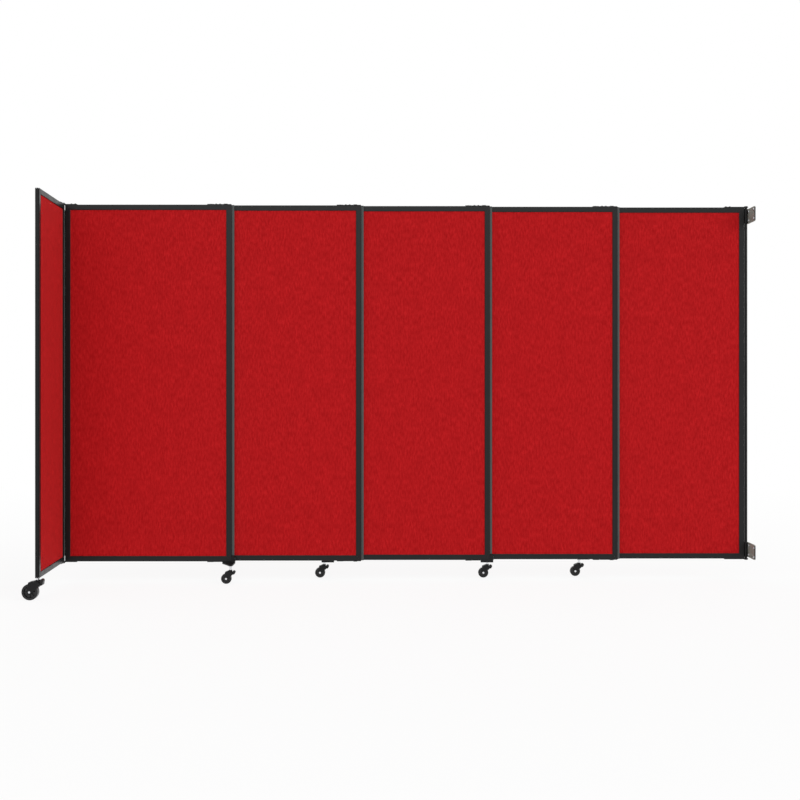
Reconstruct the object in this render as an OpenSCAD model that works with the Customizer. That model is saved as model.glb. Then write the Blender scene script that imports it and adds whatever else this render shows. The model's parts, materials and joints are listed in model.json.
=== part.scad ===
// Sliding partition: five framed fabric panels that telescope behind one another
// between a wall hinge and a narrow end panel, and roll on five swivel casters.
// +X runs along the partition towards the wall, -Y is the front, +Z is up.
// The floor is Z = 0 and the origin is the middle of the footprint.

/* [Panels] */
// Width of one telescoping panel
panel_w = 812; // [600:1:1000]
// Height of every panel frame
panel_h = 1740; // [1200:5:2200]
// How far two neighbouring panels overlap when the partition is fully open
overlap = 180; // [170:1:300]
// Distance from one panel's middle plane to the next one's
row_pitch = 22; // [21.5:0.5:24]
// Width of the narrow end panel
end_panel_w = 468; // [300:1:700]
// Angle between the end panel and the first panel
end_angle = 86.5; // [80:0.1:90]
// Height of the frames above the floor
ground_clear = 98; // [97:0.5:110]
// Thickness of the fabric-covered board
board_t = 12; // [8:0.5:13]

/* [Frame extrusion] */
// Width of a frame member, seen from the front
member_w = 26; // [25:0.5:36]
// Thickness of a frame member, front to back
member_t = 19; // [19:0.5:20]
// Wall thickness of the extrusion
wall_t = 1.6; // [1.2:0.1:2]
// Radius of the long outer edges
edge_r = 2; // [0.5:0.1:2.2]
// Width of the two grooves along the outer face
groove_w = 4.4; // [3.8:0.1:4.5]
// Depth of those grooves
groove_d = 5; // [4:0.1:5.5]
// Distance of each outer groove from the middle plane
groove_off = 4.9; // [4.8:0.1:5]
// Depth of the groove that holds the board
board_groove_d = 8; // [5:0.5:8]
// Play between the board's faces and its groove
board_fit = 0.3; // [0.1:0.05:0.5]
// Gap between the board's side and top edges and the groove floor
board_edge_gap = 1; // [0.4:0.1:2]
// Length of each leg of a corner key
key_leg = 60; // [40:1:90]
// Play of a corner key inside the member
key_fit = 0.2; // [0.1:0.05:0.4]
// Width of the seam left at a mitre and between stacked pieces
seam = 0.1; // [0.05:0.05:0.2]

/* [Sliding guides] */
// Thickness of the trailing guide plate
trail_t = 2.5; // [2.2:0.1:4]
// Height of the raised part of the trailing guide
trail_rib_h = 4.4; // [4.2:0.1:5]
// Length of that raised part
trail_rib_len = 18; // [10:1:30]
// Distance of the trailing guide from the panel's right edge
trail_inset = 2; // [1:0.5:5]
// Length of the leading guide block on a panel's left end
lead_len = 30; // [20:1:34]
// Distance of the leading guide from the panel's left edge
lead_inset = 60; // [50:1:64]
// Height of the leading guide block
lead_h = 5; // [4:0.1:5]
// Play of a guide finger on each side of its groove
guide_fit = 0.4; // [0.3:0.05:0.6]
// Gap between a guide tongue and the rail that it slides over
tongue_gap = 0.5; // [0.3:0.1:0.8]
// Gap that is left between two guides where they stop each other
stop_gap = 0.5; // [0.3:0.1:1.5]
// Diameter of the screw holes in guides and straps
screw_hole_d = 4.2; // [3:0.1:4.5]
// Distance between the two screws of a guide or strap
screw_gap = 19; // [14:1:20]

/* [Edge seals] */
// How far a seal stands out past the stile
seal_w = 11; // [8:0.5:14]
// Thickness of the seal's body
seal_t = 5.4; // [4.8:0.1:5.6]
// Gap between the seal's lip and the next panel
seal_gap = 0.5; // [0.3:0.1:1]
// Gap between an outrigger cheek and the seal above it
seal_foot = 4; // [1:0.5:40]

/* [Hinges] */
// Distance from each frame's edge to the axis of the end hinge
hinge_offset = 11.6; // [11.6:0.1:14]
// Distance from the last frame's edge to the axis of the wall hinge
wall_hinge_offset = 10; // [10:0.5:16]
// Diameter of the hinge rods
rod_d = 14; // [12:0.5:14.5]
// Wall of the tube that each rod is made of
rod_wall = 2; // [1.5:0.1:3]
// Running clearance between a rod and an eye, on the radius
eye_fit = 0.05; // [0.02:0.01:0.09]
// Thickness of the hinge straps
strap_t = 3; // [2:0.1:3.5]
// Outer radius of a strap's eye
eye_r = 11.2; // [10:0.1:11.3]
// Length of the wall hinge's straps on the rail
wall_strap_len = 98; // [60:1:110]
// Length of the end hinge's straps on the rail
end_strap_len = 57; // [50:1:80]
// Gap between two pieces that turn past each other
turn_gap = 0.3; // [0.3:0.05:0.5]
// Thickness of the caps that close a rod
cap_t = 3; // [2:0.1:4]
// Radius of those caps
cap_r = 9; // [8:0.1:9.5]

/* [Wall plates] */
// Height of a wall plate
plate_h = 73; // [60:1:120]
// Length of a wall plate along the wall
plate_l = 120; // [110:1:160]
// Thickness of a wall plate
plate_t = 5; // [3:0.5:5.5]
// Distance of a wall plate from the frame's end
plate_inset = 8; // [6:1:200]
// Radius of the barrel that grips the rod
barrel_r = 9.5; // [8.5:0.1:9.6]
// Distance from the wall hinge's axis to the wall
wall_gap = 13; // [13:0.5:16]
// Radius of the plate's corners
plate_corner_r = 8; // [2:0.5:12]
// Diameter of the wall screws' holes
plate_hole_d = 6.5; // [4:0.5:9]
// Spacing of those holes along the wall
plate_hole_y = 80; // [50:1:82]
// Spacing of those holes up the wall
plate_hole_z = 44; // [30:1:46]

/* [Outriggers] */
// Distance from a panel's middle plane to its caster stem
reach = 65; // [62:1:80]
// How far a stem lies to the right of the panel's edge
stem_shift = 4; // [0:0.5:8]
// The same for the two stems of panel 3
mid_shift = -8; // [-10:0.5:8]
// Length of the outrigger's foot under the rail
foot_in = 45; // [30:1:46]
// How far the outrigger stands out past the panel's edge
foot_out = 16; // [16:1:32]
// Height of the cheek on the end of the rail
cheek_h = 24; // [14:1:40]
// Gap between an arm and the guides that pass over it
pass_gap = 1; // [0.5:0.1:1.5]
// Thickness of an outrigger arm
arm_t = 6; // [5:0.1:6]
// Depth of the pocket under an arm
arm_pocket = 2.5; // [1:0.1:3]
// Width of the rim round that pocket
arm_rim = 4; // [3:0.1:6]
// Radius of the boss that holds the stem
boss_r = 11; // [9:0.1:11.4]

/* [Small casters] */
// Radius of a small wheel
small_wheel_r = 25; // [22:0.5:25]
// Width of a small wheel's tread
small_tread_w = 18; // [14:0.5:20]
// Distance from the stem to the small wheel's axle
small_trail = 20; // [16:0.5:20]
// Radius of the small caster's stem
small_stem_r = 6; // [5:0.1:6]

/* [End caster] */
// Radius of the end panel's wheel
big_wheel_r = 36.5; // [30:0.5:38]
// Width of the end wheel's tread
big_tread_w = 26; // [20:0.5:30]
// Distance from the stem to the end wheel's axle
big_trail = 33; // [25:0.5:33]
// Radius of the end caster's stem
big_stem_r = 6.5; // [6:0.1:7]
// How far the end caster's pintle goes up into the frame
pintle_len = 25; // [16:1:40]

/* [Caster details] */
// Thickness of a fork leg
leg_t = 2.5; // [2:0.1:3]
// Gap between the tread and each fork leg
wheel_gap = 1; // [0.6:0.1:2]
// Gap between the tread and the fork's hood
hood_gap = 2; // [1.5:0.1:3]
// Height of the crown above the top of the wheel
crown_rise = 14; // [13.5:0.5:15]
// Radius of an axle
axle_r = 3; // [2.5:0.1:3.4]
// Running clearance of axles, stems and lever pins, on the radius
pin_fit = 0.05; // [0.02:0.01:0.09]
// Radius of the spigot on top of a stem
spigot_r = 3; // [2.5:0.1:3.2]
// Radius of a brake lever's pin
lever_pin_r = 2; // [1.5:0.1:2.2]
// Gap between a brake pad and the tread when the brake is fully on
pad_gap = 0.4; // [0.3:0.1:0.6]

/* [Hidden] */
panels = 5;
caster_names = ["panel_1", "panel_3_left", "panel_3_right", "panel_5", "end_panel"];
caster_parts = ["fork", "wheel", "brake_lever", "pins"];
$fn = 48;

frame_black = "#202022";
hardware_black = "#17181a";
seal_grey = "#4c5253";
fabric_red = "#a81619";
chrome = "#d9dadc";
zinc = "#9a9ca0";
wheel_black = "#161617";

half_t = member_t / 2;
pitch = panel_w - overlap;
rod_r = rod_d / 2;
groove_floor = member_w - board_groove_d;
core_low = groove_d + wall_t;
core_high = groove_floor - wall_t;
core_mid = (core_low + core_high) / 2;
core_w = member_t - 2 * wall_t;
rail_bottom = ground_clear;
rail_top = ground_clear + panel_h;

// Guides: the finger's place, and the free edge of the tongue, from the middle plane.
finger_y = row_pitch - groove_off;
finger_w = groove_w - 2 * guide_fit;
finger_d = groove_d - 0.8;
tongue_y = finger_y + groove_w / 2 + 1.4;
trail_start = pitch + lead_inset + lead_len + stop_gap;
trail_end = panel_w - trail_inset;

// Arms: panel 5's lies under the rail, and the others pass below it.
guide_low = rail_bottom - max(lead_h, trail_rib_h);
low_arm = [guide_low - pass_gap - arm_t, guide_low - pass_gap];
high_arm = [guide_low, rail_bottom];
stem_top = low_arm[0] - turn_gap;

// Casters
big = 5;
big_stem_top = rail_bottom - turn_gap;
rivet_t = 1.5;
rivet_r = axle_r + 1.8;
lever_dir = 40;
lever_dist = 1.45;
lever_travel = 22;
pad_lead = 25;
pad_r = 2;

function pick(i, small, large) = i == big ? large : small;
function wheel_r(i) = pick(i, small_wheel_r, big_wheel_r);
function tread_w(i) = pick(i, small_tread_w, big_tread_w);
function trail(i) = pick(i, small_trail, big_trail);
function stem_r(i) = pick(i, small_stem_r, big_stem_r);
function crown_r(i) = stem_r(i) + pick(i, 2.5, 4);
function crown_top(i) = 2 * wheel_r(i) + crown_rise;
function inner_half(i) = tread_w(i) / 2 + wheel_gap;
function fork_half(i) = inner_half(i) + leg_t;
function ear_r(i) = 0.2 * wheel_r(i);
function pivot_x(i) = lever_dist * wheel_r(i) * cos(lever_dir) - trail(i);
function toe_r(i) = pick(i, 0.29, 0.22) * wheel_r(i);
function toe_x(i) = crown_r(i) + toe_r(i) + 0.8 - pivot_x(i);
function toe_z(i) = pick(i, 0.33, 0.43) * wheel_r(i);
function pad_len(i) = (lever_dist - 1) * wheel_r(i) - pad_gap - pad_r;
function pad_back(i) = pad_len(i) * cos(lever_dir + pad_lead - lever_travel) + pad_r;
function pocket_x(i) = min(-4, pivot_x(i) - pad_back(i) - 1);
function pivot_z(i) = wheel_r(i) + lever_dist * wheel_r(i) * sin(lever_dir);

// Overall size, and where everything stands.
end_stem_x = hinge_offset + end_panel_w - core_mid;
front_reach = max(
    (hinge_offset + end_panel_w) * sin(end_angle) + half_t * cos(end_angle),
    end_stem_x * sin(end_angle) + fork_half(big) + rivet_t
);
back_reach = (panels - 1) * row_pitch + reach + fork_half(1) + rivet_t;
left_reach = big_trail + big_wheel_r - end_stem_x * cos(end_angle);
length = wall_gap + wall_hinge_offset + panel_w + (panels - 1) * pitch + hinge_offset + left_reach;
wall_x = length / 2;
wall_axis_x = wall_x - wall_gap;
row_1_y = (front_reach - back_reach) / 2;

function right_x(n) = wall_axis_x - wall_hinge_offset - (panels - n) * pitch;
function left_x(n) = right_x(n) - panel_w;
function row_y(n) = row_1_y + (n - 1) * row_pitch;
end_axis_x = left_x(1) - hinge_offset;
stems = [
    [right_x(1) + stem_shift, row_y(1) - reach],
    [left_x(3) + mid_shift, row_y(3) + reach],
    [right_x(3) + mid_shift, row_y(3) + reach],
    [left_x(5) + stem_shift, row_y(5) + reach],
    [end_axis_x + end_stem_x * cos(end_angle), row_y(1) - end_stem_x * sin(end_angle)]
];

// Placement
module block(x, y, z) {
    translate([x[0], y[0], z[0]]) cube([x[1] - x[0], y[1] - y[0], z[1] - z[0]]);
}

module rounded_rect(w, h, r) {
    for (x = [r, w - r]) for (y = [r, h - r]) translate([x, y]) circle(r);
    translate([r, 0]) square([w - 2 * r, h]);
    translate([0, r]) square([w, h - 2 * r]);
}

// An outline drawn in X and Z, extruded from y[0] to y[1].
module across(y) {
    translate([0, y[1], 0]) rotate([90, 0, 0]) linear_extrude(y[1] - y[0]) children();
}

// An outline drawn in Y and Z, extruded from x[0] to x[1].
module along(x) {
    translate([x[0], 0, 0]) rotate([90, 0, 90]) linear_extrude(x[1] - x[0]) children();
}

// Children on the top rail, and their mirror image under the bottom rail.
module on_both_rails() {
    translate([0, 0, rail_top]) children();
    translate([0, 0, rail_bottom]) mirror([0, 0, 1]) children();
}

// A panel's own space: X from its left edge, Y from its middle plane.
module in_row(n) {
    translate([left_x(n), row_y(n), 0]) children();
}

// The end panel's own space: X from its hinge edge, +Y is its inner face.
module in_end_panel() {
    translate([end_axis_x, row_y(1), 0]) rotate([0, 0, -end_angle])
        translate([hinge_offset, 0, 0]) children();
}

module at_stem(i) {
    translate([stems[i - 1][0], stems[i - 1][1], 0]) children();
}

// Frame members
// The section: X is the depth from the outer face, Y the thickness of the frame.
module member_section() {
    difference() {
        translate([0, -half_t]) rounded_rect(member_w, member_t, edge_r);
        for (s = [-1, 1])
            translate([-1, s * groove_off - groove_w / 2]) square([groove_d + 1, groove_w]);
        translate([groove_floor, -board_t / 2 - board_fit])
            square([board_groove_d + 1, board_t + 2 * board_fit]);
        translate([core_low, -core_w / 2]) square([core_high - core_low, core_w]);
    }
}

// A member stands on Z = 0 with its outer face at X = 0, and both its ends are mitred.
module member(len) {
    cut = seam / 2;
    intersection() {
        linear_extrude(len) member_section();
        across([-member_t, member_t]) polygon([
            [-1, -1 + cut],
            [member_w + 1, member_w + 1 + cut],
            [member_w + 1, len - member_w - 1 - cut],
            [-1, len + 1 - cut]
        ]);
    }
}

module frame(w) {
    translate([0, 0, rail_bottom]) {
        member(panel_h);
        translate([w, 0, 0]) mirror([1, 0, 0]) member(panel_h);
        translate([0, 0, panel_h]) rotate([0, 90, 0]) member(w);
        mirror([0, 0, 1]) rotate([0, 90, 0]) member(w);
    }
}

// One key: an L in the hollows of two members, drawn for the lower left corner.
module corner_key() {
    low = core_low + key_fit;
    high = core_high - key_fit;
    tip = 1.5;
    across([-core_w / 2, core_w / 2]) polygon([
        [low, low + tip],
        [low + tip, low],
        [key_leg - tip, low],
        [key_leg, low + tip],
        [key_leg, high - tip],
        [key_leg - tip, high],
        [high, high],
        [high, key_leg - tip],
        [high - tip, key_leg],
        [low + tip, key_leg],
        [low, key_leg - tip]
    ]);
}

module corner_keys(w) {
    for (side = [0, 1]) translate([side * w, 0, 0]) mirror([side, 0, 0])
        for (end = [0, 1]) translate([0, 0, rail_bottom + end * panel_h]) mirror([0, 0, end])
            corner_key();
}

// The board stands on the lower groove floor and has play at its other edges.
module board(w) {
    edge = groove_floor + board_edge_gap;
    block([edge, w - edge], [-board_t / 2, board_t / 2], [rail_bottom + groove_floor, rail_top - edge]);
}

module panel_frame(n) {
    color(frame_black) in_row(n) frame(panel_w);
}

module panel_corner_keys(n) {
    color(zinc) in_row(n) corner_keys(panel_w);
}

module panel_board(n) {
    color(fabric_red) in_row(n) board(panel_w);
}

// Sliding guides
// The section stands on a rail whose top is Z = 0. Its tongue reaches over the neighbouring
// rail, and its finger runs in that rail's groove.
module guide_section(h) {
    bevel = 0.6;
    polygon([
        [-half_t, 0],
        [half_t, 0],
        [half_t + tongue_gap, tongue_gap],
        [finger_y - finger_w / 2, tongue_gap],
        [finger_y - finger_w / 2, -finger_d],
        [finger_y + finger_w / 2, -finger_d],
        [finger_y + finger_w / 2, tongue_gap],
        [tongue_y, tongue_gap],
        [tongue_y, h - bevel],
        [tongue_y - bevel, h],
        [bevel - half_t, h],
        [-half_t, h - bevel]
    ]);
}

module screw_holes(first, h) {
    for (x = [first, first + screw_gap])
        translate([x, 0, -1]) cylinder(d = screw_hole_d, h = h + 2);
}

// A plate with a raised part near the panel's edge; the short one stops at the outrigger.
module trail_guide(end) {
    rib_end = end - 18;
    difference() {
        union() {
            along([trail_start, end]) guide_section(trail_t);
            if (end == trail_end)
                along([rib_end - trail_rib_len, rib_end]) guide_section(trail_rib_h);
        }
        screw_holes(trail_start + 13.5, trail_t);
    }
}

module trail_guides(n) {
    has_outrigger = n == 1 || n == 3;
    translate([0, 0, rail_top]) trail_guide(trail_end);
    translate([0, 0, rail_bottom]) mirror([0, 0, 1])
        trail_guide(has_outrigger ? panel_w - foot_in - 1 : trail_end);
}

// A block whose finger runs in the rear groove of the panel in front of it.
module lead_guide() {
    difference() {
        mirror([0, 1, 0]) along([lead_inset, lead_inset + lead_len]) guide_section(lead_h);
        translate([lead_inset + lead_len / 2, 0, -1]) cylinder(d = screw_hole_d, h = lead_h + 2);
    }
}

// The first panel has no leading guides, and the last one no trailing guides.
module panel_guides(n) {
    color(hardware_black) in_row(n) {
        if (n < panels) trail_guides(n);
        if (n > 1) on_both_rails() lead_guide();
    }
}

// Edge seals
// The section has a dart in the stile's rear groove, a body, and a lip towards the next panel.
module edge_seal_section() {
    dart = groove_w / 2 - 0.3;
    back = groove_off + seal_t / 2;
    lip = row_pitch - half_t - seal_gap;
    polygon([
        [1 - groove_d, groove_off - dart],
        [0, groove_off - dart],
        [0, back - seal_t],
        [seal_w, back - seal_t],
        [seal_w, lip - 0.5],
        [seal_w - 0.5, lip],
        [seal_w - 2.5, lip],
        [seal_w - 4, back],
        [0, back],
        [0, groove_off + dart],
        [1 - groove_d, groove_off + dart]
    ]);
}

module edge_seal(n) {
    has_outrigger = n == 1 || n == 3;
    foot = has_outrigger ? rail_bottom + cheek_h + seal_foot : rail_bottom;
    color(seal_grey) in_row(n) translate([panel_w, 0, foot])
        linear_extrude(rail_top - foot) edge_seal_section();
}

// A thin strip in a hinge stile's rear groove that closes the slit beside the rod. It stands
// at X = 0 and stops short of the frame's ends, where the hinge's other parts are.
module hinge_seal(offset, end_gap) {
    dart = groove_w / 2 - 0.3;
    near = groove_off - dart;
    out = offset - rod_r - turn_gap;
    translate([0, 0, rail_bottom + end_gap]) linear_extrude(panel_h - 2 * end_gap) {
        translate([-1, near]) square([groove_d, 2 * dart]);
        translate([-out, near - 2.5]) square([out - seam, 3.5]);
    }
}

module panel_1_hinge_seal() {
    color(hardware_black) in_row(1) hinge_seal(hinge_offset, member_w);
}

module panel_5_hinge_seal() {
    color(hardware_black) in_row(5) translate([panel_w, 0, 0]) mirror([1, 0, 0])
        hinge_seal(wall_hinge_offset, plate_inset + plate_h + 5);
}

// Hinges
// A rod is a tube with a cap pressed into each end.
module hinge_rod(stack) {
    gap = stack + turn_gap;
    plug_r = rod_r - rod_wall;
    translate([0, 0, rail_bottom - gap]) difference() {
        cylinder(r = rod_r, h = panel_h + 2 * gap);
        translate([0, 0, -1]) cylinder(r = plug_r, h = panel_h + 2 * gap + 2);
    }
    on_both_rails() translate([0, 0, gap + seam]) {
        cylinder(r = cap_r, h = cap_t - 1);
        translate([0, 0, cap_t - 1]) cylinder(r1 = cap_r, r2 = cap_r - 1, h = 1);
        translate([0, 0, -12]) cylinder(r = plug_r - 0.1, h = 13);
    }
}

// A strap lies on a rail from X = 0; its eye, out at the hinge axis, may be lifted over another.
module strap(len, out, lift) {
    ramp = [3.5, 9.5];
    difference() {
        union() {
            across([-half_t, half_t]) polygon([
                [-out, lift],
                [ramp[0], lift],
                [ramp[1], 0],
                [len, 0],
                [len, strap_t],
                [ramp[1] + 1, strap_t],
                [ramp[0] + 1, strap_t + lift],
                [-out, strap_t + lift]
            ]);
            translate([-out, 0, lift]) cylinder(r = eye_r, h = strap_t);
        }
        translate([-out, 0, -1]) cylinder(r = rod_r + eye_fit, h = lift + strap_t + 2);
        screw_holes(len - screw_gap - 9, strap_t);
    }
}

module panel_5_hinge_straps() {
    color(hardware_black) in_row(5) translate([panel_w, 0, 0]) mirror([1, 0, 0])
        on_both_rails() strap(wall_strap_len, wall_hinge_offset, 0);
}

module panel_1_hinge_straps() {
    color(hardware_black) in_row(1) on_both_rails() strap(end_strap_len, hinge_offset, 0);
}

module end_panel_hinge_straps() {
    color(hardware_black) in_end_panel() on_both_rails()
        strap(end_strap_len, hinge_offset, strap_t + turn_gap);
}

module wall_hinge_rod() {
    color(frame_black) translate([wall_axis_x, row_y(5), 0]) hinge_rod(strap_t);
}

module end_hinge_rod() {
    color(frame_black) translate([end_axis_x, row_y(1), 0]) hinge_rod(2 * strap_t + turn_gap);
}

// A wall plate: a flat plate against the wall, with a barrel on a neck that grips the rod.
module wall_plate() {
    front = barrel_r - plate_l;
    hole_mid = (front - barrel_r) / 2;
    neck = 0.6 * barrel_r;
    difference() {
        union() {
            along([wall_gap - plate_t, wall_gap])
                translate([front, 0]) rounded_rect(plate_l, plate_h, plate_corner_r);
            cylinder(r = barrel_r, h = plate_h);
            block([0, wall_gap - plate_t + 1], [-neck, neck], [0, plate_h]);
        }
        translate([0, 0, -1]) cylinder(r = rod_r + eye_fit, h = plate_h + 2);
        for (y = [-1, 1]) for (z = [-1, 1])
            translate([0, hole_mid + y * plate_hole_y / 2, plate_h / 2 + z * plate_hole_z / 2])
                rotate([0, 90, 0]) cylinder(d = plate_hole_d, h = wall_gap + 1);
    }
}

module wall_plates() {
    color(hardware_black) translate([wall_axis_x, row_y(5), 0])
        for (z = [rail_bottom + plate_inset, rail_top - plate_inset - plate_h])
            translate([0, 0, z]) wall_plate();
}

// End panel: its lower free corner takes the caster's pintle.
module pintle_bore() {
    translate([end_panel_w - core_mid, 0, rail_bottom - 1])
        cylinder(r = spigot_r + pin_fit, h = pintle_len + 3);
}

module end_panel_frame() {
    color(frame_black) in_end_panel() difference() {
        frame(end_panel_w);
        pintle_bore();
    }
}

module end_panel_corner_keys() {
    color(zinc) in_end_panel() difference() {
        corner_keys(end_panel_w);
        pintle_bore();
    }
}

module end_panel_board() {
    color(fabric_red) in_end_panel() board(end_panel_w);
}

module end_panel_hinge_seal() {
    color(hardware_black) in_end_panel() hinge_seal(hinge_offset, member_w);
}

// Outriggers
// Drawn at a panel's right edge, which is X = 0, with the arm towards +Y.
module arm_outline(stem) {
    hull() {
        translate([-foot_in, -half_t]) square([foot_in + foot_out, member_t]);
        translate([stem, reach]) circle(boss_r, $fn = 32);
    }
}

// A flat arm from z[0] to z[1] with a pocketed underside and a rib along its middle.
module arm(stem, z) {
    difference() {
        translate([0, 0, z[0]]) linear_extrude(z[1] - z[0]) arm_outline(stem);
        translate([0, 0, z[0] - 1]) linear_extrude(arm_pocket + 1) difference() {
            offset(delta = -arm_rim) arm_outline(stem);
            translate([stem, reach]) circle(boss_r);
            translate([stem - 2, -half_t]) square([4, reach]);
        }
        stem_bore(stem, z[0], z[1] - z[0]);
    }
}

module stem_bore(stem, z, h) {
    translate([stem, reach, z - 1]) cylinder(r = spigot_r + pin_fit, h = h + 2);
}

// The cheek closes the end of the rail, and its foot packs out a low arm.
module cheek(foot) {
    base = rail_bottom - foot + seam;
    top = rail_bottom + cheek_h;
    bevel = 6;
    across([-half_t, half_t]) polygon([
        [seam, base],
        [foot_out, base],
        [foot_out, top - bevel],
        [foot_out - bevel, top],
        [seam, top]
    ]);
    if (foot > 0) block([-foot_in, seam + 1], [-half_t, half_t], [base, rail_bottom]);
}

module low_outrigger(stem) {
    arm(stem, low_arm);
    cheek(rail_bottom - low_arm[1]);
}

module high_outrigger(stem) {
    arm(stem, high_arm);
    cheek(0);
    difference() {
        translate([stem, reach, low_arm[0]]) cylinder(r = boss_r, h = high_arm[0] - low_arm[0] - seam);
        stem_bore(stem, low_arm[0], high_arm[0] - low_arm[0]);
    }
}

module panel_1_outrigger() {
    color(hardware_black) in_row(1) translate([panel_w, 0, 0]) mirror([0, 1, 0])
        low_outrigger(stem_shift);
}

module panel_3_outriggers() {
    color(hardware_black) in_row(3) {
        translate([panel_w, 0, 0]) low_outrigger(mid_shift);
        mirror([1, 0, 0]) low_outrigger(-mid_shift);
    }
}

module panel_5_outrigger() {
    color(hardware_black) in_row(5) mirror([1, 0, 0]) high_outrigger(-stem_shift);
}

// Casters
// Drawn round the stem at X = 0, Y = 0, with the wheel trailing to the left.
module fork_outline(i) {
    r = wheel_r(i);
    hull() {
        translate([-trail(i), r]) circle(0.28 * r, $fn = 32);
        translate([-trail(i) - 2.5, 2 * r + 5]) circle(3, $fn = 32);
        translate([-0.75 * crown_r(i), crown_top(i) - 4]) circle(4, $fn = 32);
        translate([pivot_x(i), pivot_z(i)]) circle(ear_r(i), $fn = 32);
    }
}

// Two legs under a hood; the hood leaves a pocket for the brake lever.
module caster_fork(i) {
    r = wheel_r(i);
    half = fork_half(i);
    crown_z = 2 * r + 5;
    color(hardware_black) at_stem(i) difference() {
        union() {
            across([-half, -inner_half(i)]) fork_outline(i);
            across([inner_half(i), half]) fork_outline(i);
            across([-half + 0.5, half - 0.5]) difference() {
                fork_outline(i);
                translate([-trail(i), r]) circle(r + hood_gap, $fn = 64);
                translate([pocket_x(i), 0]) square([r + 20 - pocket_x(i), crown_z - 0.4]);
            }
            translate([0, 0, crown_z]) cylinder(r = crown_r(i), h = crown_rise - 5);
        }
        across([-half - 1, half + 1]) translate([-trail(i), r]) circle(axle_r + pin_fit);
        across([-half - 1, half + 1])
            translate([pivot_x(i), pivot_z(i)]) circle(lever_pin_r + pin_fit);
        translate([0, 0, crown_z + 2]) cylinder(r = stem_r(i) - 2 + pin_fit, h = crown_rise);
    }
}

module caster_wheel(i) {
    r = wheel_r(i);
    tread = tread_w(i) / 2;
    hub = inner_half(i) - turn_gap;
    web = 0.35 * tread;
    lip = 1.6;
    color(wheel_black) at_stem(i) translate([-trail(i), 0, r]) rotate([90, 0, 0])
        rotate_extrude($fn = 96) polygon([
            [axle_r + pin_fit, -hub],
            [0.3 * r, -hub],
            [0.34 * r, -web],
            [0.7 * r, -web],
            [0.74 * r, -tread],
            [r - lip, -tread],
            [r, lip - tread],
            [r, tread - lip],
            [r - lip, tread],
            [0.74 * r, tread],
            [0.7 * r, web],
            [0.34 * r, web],
            [0.3 * r, hub],
            [axle_r + pin_fit, hub]
        ]);
}

// The lever turns on its own pin: a rounded upright toe, and a pad above the tread.
module caster_brake_lever(i) {
    r = wheel_r(i);
    half = inner_half(i) - 1;
    pad_dir = 180 + lever_dir + pad_lead;
    color(hardware_black) at_stem(i) translate([pivot_x(i), 0, pivot_z(i)]) {
        across([-half, half]) {
            hull() {
                circle(0.16 * r, $fn = 32);
                translate([toe_x(i), 0.04 * r]) circle(0.16 * r, $fn = 32);
            }
            hull() {
                translate([toe_x(i), 0.04 * r]) circle(0.16 * r, $fn = 32);
                translate([toe_x(i), toe_z(i)]) circle(toe_r(i), $fn = 32);
            }
            hull() {
                circle(0.12 * r, $fn = 32);
                translate([pad_len(i) * cos(pad_dir), pad_len(i) * sin(pad_dir)])
                    circle(pad_r, $fn = 32);
            }
        }
        rotate([90, 0, 0]) cylinder(r = lever_pin_r, h = 2 * fork_half(i) - 0.4, center = true);
    }
}

// The axle with its riveted ends, and the stem with the spigot that turns in its socket.
module caster_pins(i) {
    r = wheel_r(i);
    half = fork_half(i);
    top = pick(i, stem_top, big_stem_top);
    tip = pick(i, low_arm[1] - turn_gap, rail_bottom + pintle_len);
    color(chrome) at_stem(i) {
        translate([-trail(i), 0, r]) rotate([90, 0, 0]) {
            cylinder(r = axle_r, h = 2 * half, center = true);
            for (s = [-1, 1]) translate([0, 0, s * (half + rivet_t / 2)])
                cylinder(r = rivet_r, h = rivet_t, center = true);
        }
        translate([0, 0, crown_top(i)]) cylinder(r = stem_r(i), h = top - crown_top(i));
        translate([0, 0, 2 * r + 8]) cylinder(r = stem_r(i) - 2, h = crown_rise - 7);
        translate([0, 0, top - 1]) cylinder(r = spigot_r, h = tip - top + 1);
    }
}

// Every piece, drawn alone when its name is asked for
wall_plates();
wall_hinge_rod();
for (n = [1 : panels]) {
    panel_frame(n);
    panel_corner_keys(n);
    panel_board(n);
    panel_guides(n);
}
for (n = [1 : panels - 1]) {
    edge_seal(n);
}
panel_1_hinge_seal();
panel_5_hinge_seal();
panel_1_outrigger();
panel_3_outriggers();
panel_5_outrigger();
panel_5_hinge_straps();
panel_1_hinge_straps();
end_hinge_rod();
end_panel_frame();
end_panel_corner_keys();
end_panel_board();
end_panel_hinge_seal();
end_panel_hinge_straps();
for (i = [1 : len(caster_names)]) {
    name = str(caster_names[i - 1], "_caster_");
    caster_fork(i);
    caster_wheel(i);
    caster_brake_lever(i);
    caster_pins(i);
}
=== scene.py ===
"""Dresses the sliding partition: fabric on its boards, screws, caster details and finishes."""

import enum
import json
import logging
import math
from collections.abc import Callable, Iterable
from dataclasses import dataclass, field

import bmesh
import bpy
from bmesh.types import BMEdge, BMFace
from bpy.types import Material, Node, NodeTree, Object
from bpy.types import NodeSocket as Socket
from mathutils import Matrix, Vector, noise

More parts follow.
